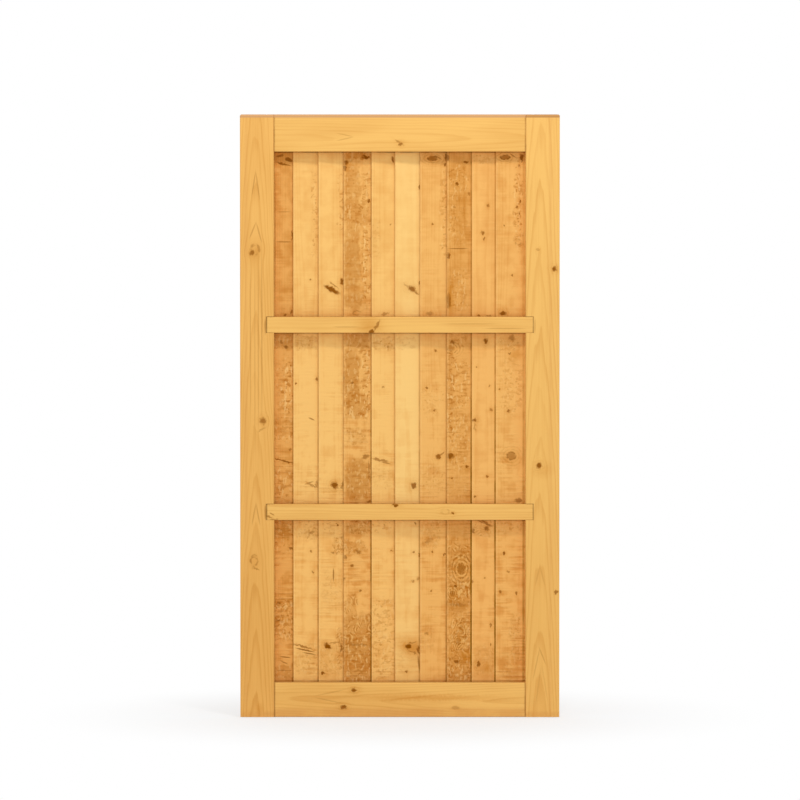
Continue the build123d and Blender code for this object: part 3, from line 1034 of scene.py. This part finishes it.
@dataclass
class BoardSkin:
    """The ten sawn boards behind the rails."""

    near_y: float = 0.0045
    # Strength of the painted shade and dirt along each lap, from the first board's to the ninth's.
    lap_shade_and_dirt: tuple[float, ...] = (0.14, 0.15, 0.1, 0.27, 0.12, 0.17, 0.18, 0.4, 0.38)
    # Painted shade: a dark line on the boards just under each rail, with its strength.
    under_rails: tuple[tuple[str, float], ...] = (
        ("top_rail", 0.6), ("upper_middle_rail", 0.5), ("lower_middle_rail", 0.45),
    )
    looks: tuple[TimberLook, ...] = (
        TimberLook(
            Tone.RUSSET, sawn=0.9, seed=2.1, pith=(0.03, -0.05), ring_strength=0.25,
            marks=(
                LINE(274.8, 235, 2.4, 170, force=0.6), STAIN(284, 155, 20, 8), STREAK(289, 160, 8, 4, 15),
                STREAK(280, 156, 9, 2.5, -10, 0.8), STREAK(284, 164.5, 16, 2.5, 14),
                LINE(284, 212, 14, 1.3, force=0.7), LINE(284, 242, 18, 1.5),
                STREAK(292.3, 236, 2, 12, force=0.8), PIN(284.7, 315.5, 4, 3), PIN(291.5, 312, 3, 5),
                KNOT(286, 347, 5, 4, force=0.8), STREAK(281.5, 342, 3, 5, -30, 0.6),
                STREAK(283.5, 461, 20, 2, 15), PIN(290, 450, 3, force=0.8),
                STAIN(283, 528, 20, 14, force=0.4), PIN(291, 548.6, 3), STREAK(279, 603, 4, 2, force=0.7),
                STREAK(278, 620.6, 4, 2, force=0.7), LINE(285, 657.6, 12, 1.6, 8, 1.2),
                LINE(284, 663, 10, 1.5, 25), LINE(284, 671, 18, 1.6, force=0.7),
            ),
            patches=(
                Patch(283, 342, 20, 14, 0.4, 0.22), Patch(288, 385, 10, 60, 0.9, 0.0),
                Patch(281, 385, 10, 50, 0.4, 0.1), Patch(283, 430, 20, 24, 0.5, 0.0),
                Patch(283, 485, 20, 36, 0.6, 0.1), Patch(283, 529, 20, 16, 0.6, 0.05),
                Patch(283, 546, 20, 16, 0.5, 0.1), Patch(283, 620, 24, 44, 0.65, 0.12, 0.4),
                Patch(283, 672, 24, 16, 0.4, 0.25),
            ),
        ),
        TimberLook(
            Tone.HONEY, sawn=0.5, seed=3.4, pith=(0.0, -0.06), ring_strength=0.3,
            marks=(
                PIN(296.3, 383.3, 2.6, force=1.2), PIN(316.7, 379, 2.5, 5), PIN(310.6, 280, 2),
                LINE(311.5, 419, 7, 1.6, 25, 1.2), STREAK(311, 485, 14, 2, 30, 0.6),
                LINE(309, 483, 10, 1.5, -20), STREAK(316.5, 484, 2.5, 8, force=0.5),
                KNOT(311.7, 532.7, 6, 3, -30, 0.5), PIN(310.6, 550.7, 3), PIN(312.8, 572.4, 3, 2.5),
                STREAK(303, 647, 24, 1.8, 16, 0.8), LINE(305, 650.5, 22, 1.6, 13, 1.5),
                LINE(309, 654, 14, 1.6, 10, 1.3),
            ),
            patches=(
                Patch(306, 342, 24, 14, 0.35, 0.18), Patch(315, 215, 6, 90, 0.35, 0.0, 0.1),
                Patch(306, 530, 24, 20, 0.35, 0.0, 0.2), Patch(306, 660, 24, 30, 0.3, 0.1),
            ),
        ),
        TimberLook(
            Tone.HONEY, sawn=0.5, seed=5.9, pith=(-0.02, -0.06), ring_strength=0.3,
            marks=(
                STREAK(331.5, 289.5, 19, 5, 28, 1.1), STREAK(334, 285, 12, 2, 38, 0.6), KNOT(342, 282, 4, 6),
                KNOT(334.5, 485.6, 7, 7.5), STREAK(342.5, 485, 2.5, 8, 10, 0.6),
                PIN(337.4, 525, 2.5, force=1.2), PIN(332.3, 553, 4, 3, force=0.8),
                LINE(333.4, 575, 1.8, 14, force=1.3), KNOT(327.5, 646.5, 9, 5, 30, 1.1),
                STREAK(334, 643, 12, 2, -8, 0.5), STREAK(341, 648, 2.5, 10, force=0.8),
                KNOT(322.3, 673.5, 4, 3),
            ),
            patches=(
                Patch(342, 205, 7, 60, 0.5, 0.05), Patch(331, 528, 24, 14, 0.3, 0.0),
                Patch(338, 545, 12, 18, 0.5, 0.15, 0.6), Patch(332, 590, 22, 40, 0.2, 0.05),
                Patch(331, 660, 24, 30, 0.3, 0.1, 0.2), Patch(340, 650, 6, 40, 0.5, 0.2, 0.6),
            ),
        ),
        TimberLook(
            Tone.AMBER, sawn=1.0, seed=8.3, pith=(0.0, -0.05), ring_strength=0.35,
            marks=(
                KNOT(346, 163, 5), STREAK(366, 157.6, 8, 4, 10, 1.2), STAIN(357, 155, 22, 4, force=0.6),
                STREAK(345, 168, 3, 6), PIN(369, 201, 2.5, 4, force=1.2), RING(356.7, 313, 8, 5),
                PIN(352.5, 383, 3, 2.5), PIN(343.5, 378, 2.5, 4), KNOT(365, 457, 8, 5, -20, 0.7),
                STREAK(369, 470, 2, 20, force=0.6), PIN(369, 502, 4, 3), PIN(345, 557, 3, 4),
                PIN(352, 566, 3), PIN(343.5, 579, 2.5, 4), PIN(360, 591, 3, 2.5),
                KNOT(358, 552, 7, 4, 20, 0.6), STREAK(357, 645, 26, 3, 3, 0.5),
            ),
            patches=(
                Patch(357, 156, 26, 8, 0.5, 0.5), Patch(352, 205, 14, 90, 0.35, 0.3),
                Patch(365, 190, 9, 50, 0.5, 0.1), Patch(356, 215, 26, 24, 0.6, 0.3),
                Patch(352, 265, 16, 60, 0.25, 0.45), Patch(366, 262, 8, 90, 0.7, 0.1),
                Patch(354, 300, 20, 20, 0.3, 0.4), Patch(357, 341, 26, 16, 0.4, 0.5),
                Patch(351, 382, 16, 66, 0.5, 0.5), Patch(365, 380, 10, 80, 0.8, 0.1),
                Patch(356, 406, 24, 24, 0.7, 0.4), Patch(356, 436, 22, 16, 0.5, 0.2, 0.2),
                Patch(357, 481, 26, 42, 0.45, 0.5), Patch(357, 527, 26, 14, 0.6, 0.3, 0.4),
                Patch(355, 547, 22, 14, 0.6, 0.3, 0.3), Patch(350, 607, 14, 22, 0.3, 0.25, 0.7),
                Patch(358, 629, 34, 30, 0.3, 0.4, 0.9), Patch(358, 659, 38, 52, 0.6, 0.45, 0.15),
            ),
        ),
        TimberLook(
            Tone.HONEY, sawn=0.5, seed=11.2, pith=(0.01, -0.07), ring_strength=0.3,
            marks=(
                STREAK(392.7, 160, 3, 7), PIN(391, 225, 2, force=0.7), KNOT(385, 314, 8, 3, -20, 0.5),
                PIN(388, 347, 3, force=0.5), PIN(383, 387, 2.5, force=0.7),
                STREAK(380, 460, 19, 2.5, 12, 0.7), LINE(386, 463, 10, 1.6, 12),
                PIN(384.7, 524.7, 2.5, 2, force=0.7), PIN(391, 551, 2.5),
            ),
            patches=(
                Patch(382, 344, 22, 16, 0.5, 0.15), Patch(384, 640, 28, 84, 0.4, 0.03),
                Patch(382, 478, 24, 22, 0.2, 0.06), Patch(375, 240, 10, 40, 0.2, 0.05),
                Patch(382, 527, 22, 12, 0.4, 0.0),
            ),
        ),
        TimberLook(
            Tone.STRAW, sawn=0.3, seed=13.7, pith=(-0.01, -0.08), ring_strength=0.3,
            marks=(
                KNOT(412, 289, 9, 5.5, 25, 0.9), STREAK(416.5, 292.5, 7, 2.2, 38, 0.7),
                STREAK(407, 286, 10, 2, 35, 0.4), PIN(419.5, 283, 2.5, 4),
                KNOT(413.9, 485.6, 6, 6.5, force=0.9), PIN(415.5, 524, 2.6), PIN(413.4, 552.8, 3.2, 3),
                PIN(419.7, 555, 2.5, 4), PIN(412.8, 581.4, 3, 2.6, force=0.7),
                PIN(418.5, 579, 2.5, 3, force=0.6), KNOT(408.5, 647, 7, 5, 20, 1.1),
                STREAK(412, 643, 10, 1.8, -12, 0.6), STREAK(413, 653, 11, 1.8, 28, 0.6),
                STREAK(418.3, 650, 3, 9, -5, 0.9), PIN(406, 672, 3.4, 3), STAIN(412, 648, 15, 9, 20, 1.3),
                LINE(418.8, 664, 2, 18, -6), STREAK(419.8, 187, 2.2, 7, force=0.8),
            ),
            patches=(Patch(407, 342, 24, 12, 0.2, 0.08), Patch(407, 660, 24, 26, 0.15, 0.05)),
        ),
        TimberLook(
            Tone.AMBER, sawn=0.5, seed=17.5, pith=(0.02, -0.06), ring_strength=0.3,
            marks=(
                EYE(432.4, 158.7, 10, 5.2), LINE(438, 157.6, 9, 1.6, 30),
                STREAK(445.5, 158, 2.5, 8, force=0.9), PIN(445, 165, 3), PIN(432.4, 224.3, 2),
                KNOT(430, 314, 8, 4, force=0.5), PIN(435.6, 351, 2.5), PIN(426.6, 388, 3, 2.5),
                PIN(434.5, 410, 3, 2), KNOT(438.2, 457, 6, 4.5, -15, 0.9), LINE(442, 454, 8, 1.8, -40),
                KNOT(429, 541, 9, 5, -30, 0.35), PIN(432.4, 552.3, 2.6, force=1.1), PIN(444.5, 555, 2, 4),
                STAIN(428, 620, 5, 3, force=0.6), PIN(426.6, 634, 4, 2, force=0.6), PIN(431, 591.5, 2.6),
            ),
            patches=(
                Patch(444, 215, 6, 90, 0.4, 0.0), Patch(432, 400, 24, 30, 0.25, 0.03),
                Patch(433, 480, 24, 30, 0.25, 0.1), Patch(433, 526, 24, 14, 0.35, 0.0, 0.2),
                Patch(430, 541, 16, 14, 0.3, 0.15, 0.3), Patch(427, 640, 14, 30, 0.2, 0.06),
            ),
        ),
        TimberLook(
            Tone.RUSSET, sawn=0.8, seed=19.1, pith=(0.01, -0.05), ring_strength=0.35,
            marks=(
                STREAK(447.5, 158, 4, 7), KNOT(465.8, 162.6, 5, 3.5), KNOT(456.5, 184, 3, 5),
                STAIN(461, 217, 11, 66, force=0.35), PIN(454.6, 207, 1.6, 3, force=0.6),
                PIN(454.6, 218, 1.6, 3, force=0.5), PIN(454.6, 230, 1.6, 3, force=0.5),
                PIN(469, 194, 2, 4, force=0.6), LINE(458, 248.7, 22, 1.3, force=1.2), KNOT(448.5, 256, 3, 7),
                STAIN(449.5, 298, 5, 22, force=1.2), STREAK(448.8, 301, 5, 16, force=0.75),
                KNOT(453, 342, 5, 4, force=0.8), WHORL(450.5, 348.5, 8, 6, force=0.7),
                KNOT(450.5, 456, 7, 6.5), PIN(466.8, 467, 4, force=1.3), PIN(451.5, 478, 2.5, 2),
                WHORL(461.5, 569, 8, 11), KNOT(455.7, 586, 3.5), WHORL(452.5, 594, 5, 6, force=0.8),
                STREAK(457.5, 605, 20, 4, force=0.4), WHORL(461.5, 629, 4, 7, force=0.5),
                WHORL(458.5, 642, 5, 7, force=0.7), STAIN(466.8, 657, 9, 6), KNOT(457, 662, 5, 4, force=0.9),
                STAIN(449, 655, 8, 3, -20, 0.8),
            ),
            patches=(
                Patch(461, 217, 12, 66, 0.3, 0.15), Patch(452, 215, 6, 60, 0.5, 0.0, 0.2),
                Patch(458, 180, 20, 30, 0.5, 0.0, 0.2), Patch(458, 290, 22, 40, 0.5, 0.05),
                Patch(458, 343, 22, 14, 0.5, 0.2), Patch(450, 370, 6, 60, 0.7, 0.3),
                Patch(458, 385, 22, 50, 0.6, 0.02), Patch(450, 400, 6, 80, 0.8, 0.1),
                Patch(458, 440, 22, 60, 0.5, 0.05), Patch(458, 490, 22, 30, 0.2, 0.12),
                Patch(458, 533, 24, 28, 0.15, 0.15), Patch(459, 558, 24, 30, 0.2, 0.3, 0.9),
                Patch(459, 590, 24, 30, 0.55, 0.2, 0.95), Patch(458, 606, 28, 12, 0.5, 0.4),
                Patch(461, 635, 22, 44, 0.55, 0.15, 0.95), Patch(458, 668, 28, 30, 0.6, 0.3, 0.4),
            ),
        ),
        TimberLook(
            Tone.PEACH, sawn=0.4, seed=23.6, pith=(-0.02, -0.07), ring_strength=0.3,
            marks=(
                KNOT(488, 205.8, 3.2, force=0.7), KNOT(482.7, 233.3, 4, force=0.8), PIN(484, 239, 2, 4),
                KNOT(479.5, 315.5, 4, 2.5, force=0.8), STREAK(489, 316, 8, 1.6, force=0.6),
                KNOT(485.9, 341, 4, 6), PIN(476.6, 366.6, 2), PIN(489.3, 386, 2.2, force=0.8),
                KNOT(491, 409.7, 4, 3, -20, 0.6), KNOT(474.8, 419.8, 4.5, 4, force=0.9),
                STREAK(474.8, 427, 2, 10, force=0.4), PIN(487, 476.6, 2.5), PIN(474.8, 496.7, 3, 2),
                STREAK(486, 523, 14, 2.5, 35, 0.8), LINE(481, 522, 8, 1.5, 30),
                KNOT(486.4, 528.5, 5, force=0.8), PIN(473.5, 530.6, 2.5, 6), PIN(484.8, 578, 2.5, force=0.8),
                PIN(472.5, 582, 3, force=0.8), PIN(491, 626, 2, 5, force=0.9), PIN(490.5, 645, 2, 3),
                KNOT(478.5, 664, 3.5, 7, force=0.9), STAIN(487, 668, 5, 7, force=0.9),
            ),
            patches=(
                Patch(484, 160, 22, 10, 0.3, 0.12), Patch(484, 527, 22, 16, 0.4, 0.0, 0.4),
                Patch(484, 660, 22, 32, 0.25, 0.1, 0.2),
            ),
        ),
        TimberLook(
            Tone.AMBER, sawn=0.6, seed=29.4, pith=(0.0, -0.06), ring_strength=0.3,
            marks=(
                EYE(504.9, 157.6, 10, 5), LINE(513, 156, 8, 1.6, 35), KNOT(521.5, 158, 4, 8),
                PIN(519, 166, 2.5, 4), PIN(520.3, 201.6, 2.5, 3, force=1.1), PIN(516.6, 207.4, 2.5, 3),
                PIN(519.2, 213.7, 2, 3), PIN(503.9, 225.4, 2.6), RING(518, 242, 7, force=0.8),
                KNOT(502.8, 313.4, 7, 4.5), PIN(512.3, 275.3, 2.2), KNOT(512, 338, 7, 6, force=0.6),
                STAIN(516, 354.5, 8, 6, force=0.9), PIN(509.7, 353.6, 2.5), PIN(499.9, 389, 2.4),
                KNOT(508.3, 410.8, 2.6, 4, force=0.8), EYE(511.3, 455.9, 9.5, 8, force=0.75),
                KNOT(518.7, 500.4, 8, 4, force=0.7), KNOT(503.9, 553, 3.2, 3.6),
                STREAK(508, 571.9, 5, 2, 30, 0.6), PIN(500.6, 592, 3), PIN(516.6, 594, 2.4, 5),
            ),
            patches=(
                Patch(518, 205, 8, 90, 0.6, 0.04, 0.1), Patch(512, 385, 22, 60, 0.3, 0.0, 0.1),
                Patch(510, 345, 24, 14, 0.4, 0.1, 0.2), Patch(510, 525, 24, 16, 0.35, 0.0),
                Patch(516, 640, 12, 50, 0.35, 0.1, 0.2), Patch(510, 665, 24, 30, 0.2, 0.1),
            ),
        ),
    )

    def name(self, number: int) -> str:
        """The node's name of a board, counted from 1."""
        return f"board_{number:02d}"

    def joints(self, number: int) -> list[Joint]:
        """The straight traces on one board: painted shade with dirt in its laps, painted shade under and
        over the rails, and a painted highlight on its lit thin edge.

        Args:
            number: the board's number.

        Returns:
            Its traces.
        """
        lines = []
        # Painted shade with dirt along the laps and where the end boards meet the stiles.
        if number == 1:
            lines.append(Joint(ACROSS, 0.0970, 0.0040, 0.1, Trace.LAP))
        if number == len(self.looks):
            lines.append(Joint(ACROSS, 0.7990, 0.0045, 0.22, Trace.LAP))
        else:
            lap_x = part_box(self.name(number + 1))[0].x
            lines.append(Joint(ACROSS, lap_x - 0.0006, 0.0050, self.lap_shade_and_dirt[number - 1], Trace.LAP))
        # Painted highlight along the lit thin edge of each board after the first.
        if number > 1:
            edge_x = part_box(self.name(number))[0].x
            lines.append(Joint(ACROSS, edge_x + 0.003, 0.003, 0.2, Trace.WORN))
        # Painted shade just under each rail and just above the middle and bottom rails.
        for rail, force in self.under_rails:
            lines.append(Joint(UP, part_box(rail)[0].z - 0.0022, 0.0035, force))
        lines.append(Joint(UP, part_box("upper_middle_rail")[1].z + 0.0025, 0.004, 0.15))
        lines.append(Joint(UP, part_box("lower_middle_rail")[1].z + 0.0030, 0.005, 0.12))
        lines.append(Joint(UP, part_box("bottom_rail")[1].z + 0.0020, 0.004, 0.3))
        return lines

    def build(self, carpenter: Carpenter) -> None:
        """Dresses the boards.

        Args:
            carpenter: the maker of timber materials.
        """
        for number, look in enumerate(self.looks, start=1):
            carpenter.dress(self.name(number), look, self.near_y, self.joints(number))


@dataclass(frozen=True)
class NailSteel:
    """Dull zinc with a little rust, on the nail heads."""

    zinc: Colour = linear(150, 150, 152)
    rust: Colour = linear(128, 82, 48)
    roughness: float = 0.5
    bump_strength: float = 0.3
    bump_distance: float = 0.0002

    def make(self) -> bpy.types.Material:
        """The finished material."""
        material = bpy.data.materials.new("nail_steel")
        material.use_nodes = True
        canvas = Canvas(material.node_tree)
        shader = material.node_tree.nodes["Principled BSDF"]
        place = canvas.add("ShaderNodeTexCoord").outputs["Object"]
        bloom = canvas.noise(place, (420.0, 420.0, 420.0), detail=3.0).outputs["Fac"]
        share = canvas.smooth(bloom, 0.5, 0.72)
        canvas.feed(shader.inputs["Base Color"], canvas.blend(share, self.zinc, self.rust))
        canvas.feed(shader.inputs["Metallic"], canvas.smooth(share, 0.0, 1.0, 0.9, 0.2))
        shader.inputs["Roughness"].default_value = self.roughness
        canvas.roughen(shader, bloom, self.bump_strength, self.bump_distance)
        return material


@dataclass
class BackNails:
    """The nails that hold the boards to the rails, whose heads show on the far side."""

    head_sides: int = 20
    head_radius: float = 0.0035
    head_rise: float = 0.0012
    sunk: float = 0.0008
    edge_bevel: float = 0.0005
    dish_inset: float = 0.0012
    dish_depth: float = 0.0003
    bevel_from: float = math.radians(60)
    from_edge: float = 0.038
    probe_y: float = 0.5
    board_count: int = 10
    rails: tuple[str, ...] = ("top_rail", "upper_middle_rail", "lower_middle_rail", "bottom_rail")

    def model_head(self) -> bpy.types.Object:
        """Models one bevelled, slightly dished head that faces up.

        Returns:
            The head, its underside a little under the origin.
        """
        bpy.ops.object.select_all(action="DESELECT")
        bpy.ops.mesh.primitive_cylinder_add(vertices=self.head_sides, radius=self.head_radius,
                                            depth=self.head_rise + self.sunk,
                                            location=(0.0, 0.0, (self.head_rise - self.sunk) / 2))
        head = bpy.context.active_object
        bpy.ops.object.transform_apply(location=True, rotation=True, scale=True)
        bpy.ops.object.mode_set(mode="EDIT")
        bpy.ops.mesh.select_mode(type="FACE")
        bpy.ops.mesh.select_all(action="DESELECT")
        bpy.ops.object.mode_set(mode="OBJECT")
        for face in head.data.polygons:
            face.select = face.normal.z > 0.9
        bpy.ops.object.mode_set(mode="EDIT")
        bpy.ops.mesh.inset(thickness=self.dish_inset)
        bpy.ops.transform.translate(value=(0.0, 0.0, -self.dish_depth))
        bpy.ops.object.mode_set(mode="OBJECT")
        rim = head.modifiers.new("rim", "BEVEL")
        rim.width = self.edge_bevel
        rim.segments = 2
        rim.limit_method = "ANGLE"
        rim.angle_limit = self.bevel_from
        bpy.ops.object.modifier_apply(modifier=rim.name)
        return head

    def height(self, rail: str) -> float:
        """How high the nails of a rail are, in the middle of where the boards bear on it."""
        low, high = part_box(rail)
        board_low, board_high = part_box("board_01")
        return (max(low.z, board_low.z) + min(high.z, board_high.z)) / 2

    def drive_row(self, head: bpy.types.Object, rail: str, steel: bpy.types.Material) -> bpy.types.Object:
        """Sets one head on each board along a rail and joins them.

        Args:
            head: the modelled head.
            rail: the rail's node.
            steel: the material.

        Returns:
            The row as one piece.
        """
        heads = []
        for number in range(1, self.board_count + 1):
            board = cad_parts[f"board_{number:02d}"]
            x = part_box(board.name)[1].x - self.from_edge
            start = Vector((x, self.probe_y, self.height(rail)))
            hit, spot, normal, _ = board.ray_cast(start, Vector((0.0, -1.0, 0.0)))
            if not hit:
                raise RuntimeError(f"no far face under the nail on {board.name}")
            turn = normal.to_track_quat("Z", "X").to_matrix().to_4x4()
            copy = head.copy()
            copy.data = head.data.copy()
            copy.data.transform(Matrix.Translation(spot) @ turn)
            bpy.context.scene.collection.objects.link(copy)
            heads.append(copy)
        bpy.ops.object.select_all(action="DESELECT")
        for copy in heads:
            copy.select_set(True)
        bpy.context.view_layer.objects.active = heads[0]
        bpy.ops.object.join()
        row = bpy.context.active_object
        row.name = f"nails_{rail}"
        row.data.materials.clear()
        row.data.materials.append(steel)
        return row

    def build(self) -> None:
        """Models a head and drives a row of nails into each rail."""
        head = self.model_head()
        steel = NailSteel().make()
        for rail in self.rails:
            row = self.drive_row(head, rail, steel)
            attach(row, BODY)
            log.info("%s: %d heads, %d faces", row.name, self.board_count, len(row.data.polygons))
        bpy.data.objects.remove(head, do_unlink=True)


@dataclass
class Studio:
    """Floor, lamp, surroundings and camera."""

    middle: Triple = (0.45, 0.0, 0.85)
    floor_radius: float = 14.0
    floor_drop: float = 0.001
    floor_colour: Colour = (0.8, 0.8, 0.8)
    white_from: tuple[float, float] = (0.35, 1.1)
    white_beside_leaf: float = 0.6
    key_place: Triple = (0.85, -1.87, 4.0)
    key_size: float = 0.35
    key_power: float = 38.0
    surround: float = 0.88
    camera_distance: float = 30.0
    sensor: float = 36.0

    def build(self) -> None:
        """Sets up everything round the leaf."""
        self.lay_floor()
        self.hang_lamp()
        self.fill_world()
        self.aim_camera()

    def seen_directly(self, canvas: Canvas) -> Socket:
        """1 for what the camera, a reflection or a see-through surface looks at."""
        path = canvas.add("ShaderNodeLightPath").outputs
        direct = canvas.maths("MAXIMUM", path["Is Camera Ray"], path["Is Glossy Ray"])
        return canvas.maths("MAXIMUM", direct, path["Is Transmission Ray"])

    def lay_floor(self) -> None:
        """A round pale floor that fades to white away from the leaf."""
        bpy.ops.object.select_all(action="DESELECT")
        bpy.ops.mesh.primitive_circle_add(vertices=96, radius=self.floor_radius, fill_type="NGON",
                                          location=(self.middle[0], 0.0, -self.floor_drop))
        floor = bpy.context.active_object
        floor.name = "floor"
        bpy.ops.object.transform_apply(location=True, rotation=True, scale=True)
        material = bpy.data.materials.new("pale_floor")
        material.use_nodes = True
        canvas = Canvas(material.node_tree)
        shader = material.node_tree.nodes["Principled BSDF"]
        shader.inputs["Base Color"].default_value = (*self.floor_colour, 1.0)
        shader.inputs["Roughness"].default_value = 0.9
        shader.inputs["Specular IOR Level"].default_value = 0.0
        white = canvas.add("ShaderNodeEmission")
        place = canvas.add("ShaderNodeTexCoord").outputs["Object"]
        away = canvas.vectors("LENGTH", canvas.vectors("SUBTRACT", place, (self.middle[0], 0.0, 0.0)))
        share = canvas.smooth(away, *self.white_from, self.white_beside_leaf, 1.0)
        share = canvas.maths("MULTIPLY", share, self.seen_directly(canvas))
        mix = canvas.add("ShaderNodeMixShader")
        canvas.feed(mix.inputs[0], share)
        canvas.feed(mix.inputs[1], shader.outputs[0])
        canvas.feed(mix.inputs[2], white.outputs[0])
        out = material.node_tree.nodes["Material Output"]
        canvas.feed(out.inputs["Surface"], mix.outputs[0])
        floor.data.materials.append(material)

    def hang_lamp(self) -> None:
        """One soft lamp, high in front and a little to the right."""
        data = bpy.data.lights.new("key", "AREA")
        data.shape = "DISK"
        data.size = self.key_size
        data.energy = self.key_power
        lamp = bpy.data.objects.new("key", data)
        bpy.context.scene.collection.objects.link(lamp)
        lamp.location = self.key_place
        aim = Vector(self.middle) - Vector(self.key_place)
        lamp.rotation_euler = aim.to_track_quat("-Z", "Y").to_euler()

    def fill_world(self) -> None:
        """White to look at, and an even softer fill for the leaf."""
        world = bpy.data.worlds.new("surround")
        bpy.context.scene.world = world
        world.use_nodes = True
        canvas = Canvas(world.node_tree)
        background = world.node_tree.nodes["Background"]
        background.inputs["Color"].default_value = (1.0, 1.0, 1.0, 1.0)
        direct = self.seen_directly(canvas)
        strength = canvas.maths("MULTIPLY_ADD", direct, 1.0 - self.surround, self.surround)
        canvas.feed(background.inputs["Strength"], strength)

    def aim_camera(self) -> None:
        """A long lens in front of the leaf, a little above it."""
        data = bpy.data.cameras.new("camera")
        data.sensor_width = self.sensor
        data.lens = self.sensor * self.camera_distance / VIEW.breadth
        camera = bpy.data.objects.new("camera", data)
        bpy.context.scene.collection.objects.link(camera)
        tilt = math.radians(VIEW.elevation)
        back = Vector((0.0, -math.cos(tilt), math.sin(tilt)))
        camera.location = Vector((VIEW.centre[0], 0.0, VIEW.centre[1])) + back * self.camera_distance
        camera.rotation_euler = (-back).to_track_quat("-Z", "Y").to_euler()
        bpy.context.scene.camera = camera


def main() -> None:
    """Dresses the leaf, adds what is fixed to it and sets up the studio."""
    logging.basicConfig(level=logging.INFO, format="%(name)s: %(message)s")
    bpy.context.scene.view_settings.view_transform = "Standard"
    carpenter = Carpenter()
    GateFrame().build(carpenter)
    BoardSkin().build(carpenter)
    BackNails().build()
    Studio().build()


if __name__ == "__main__":
    main()
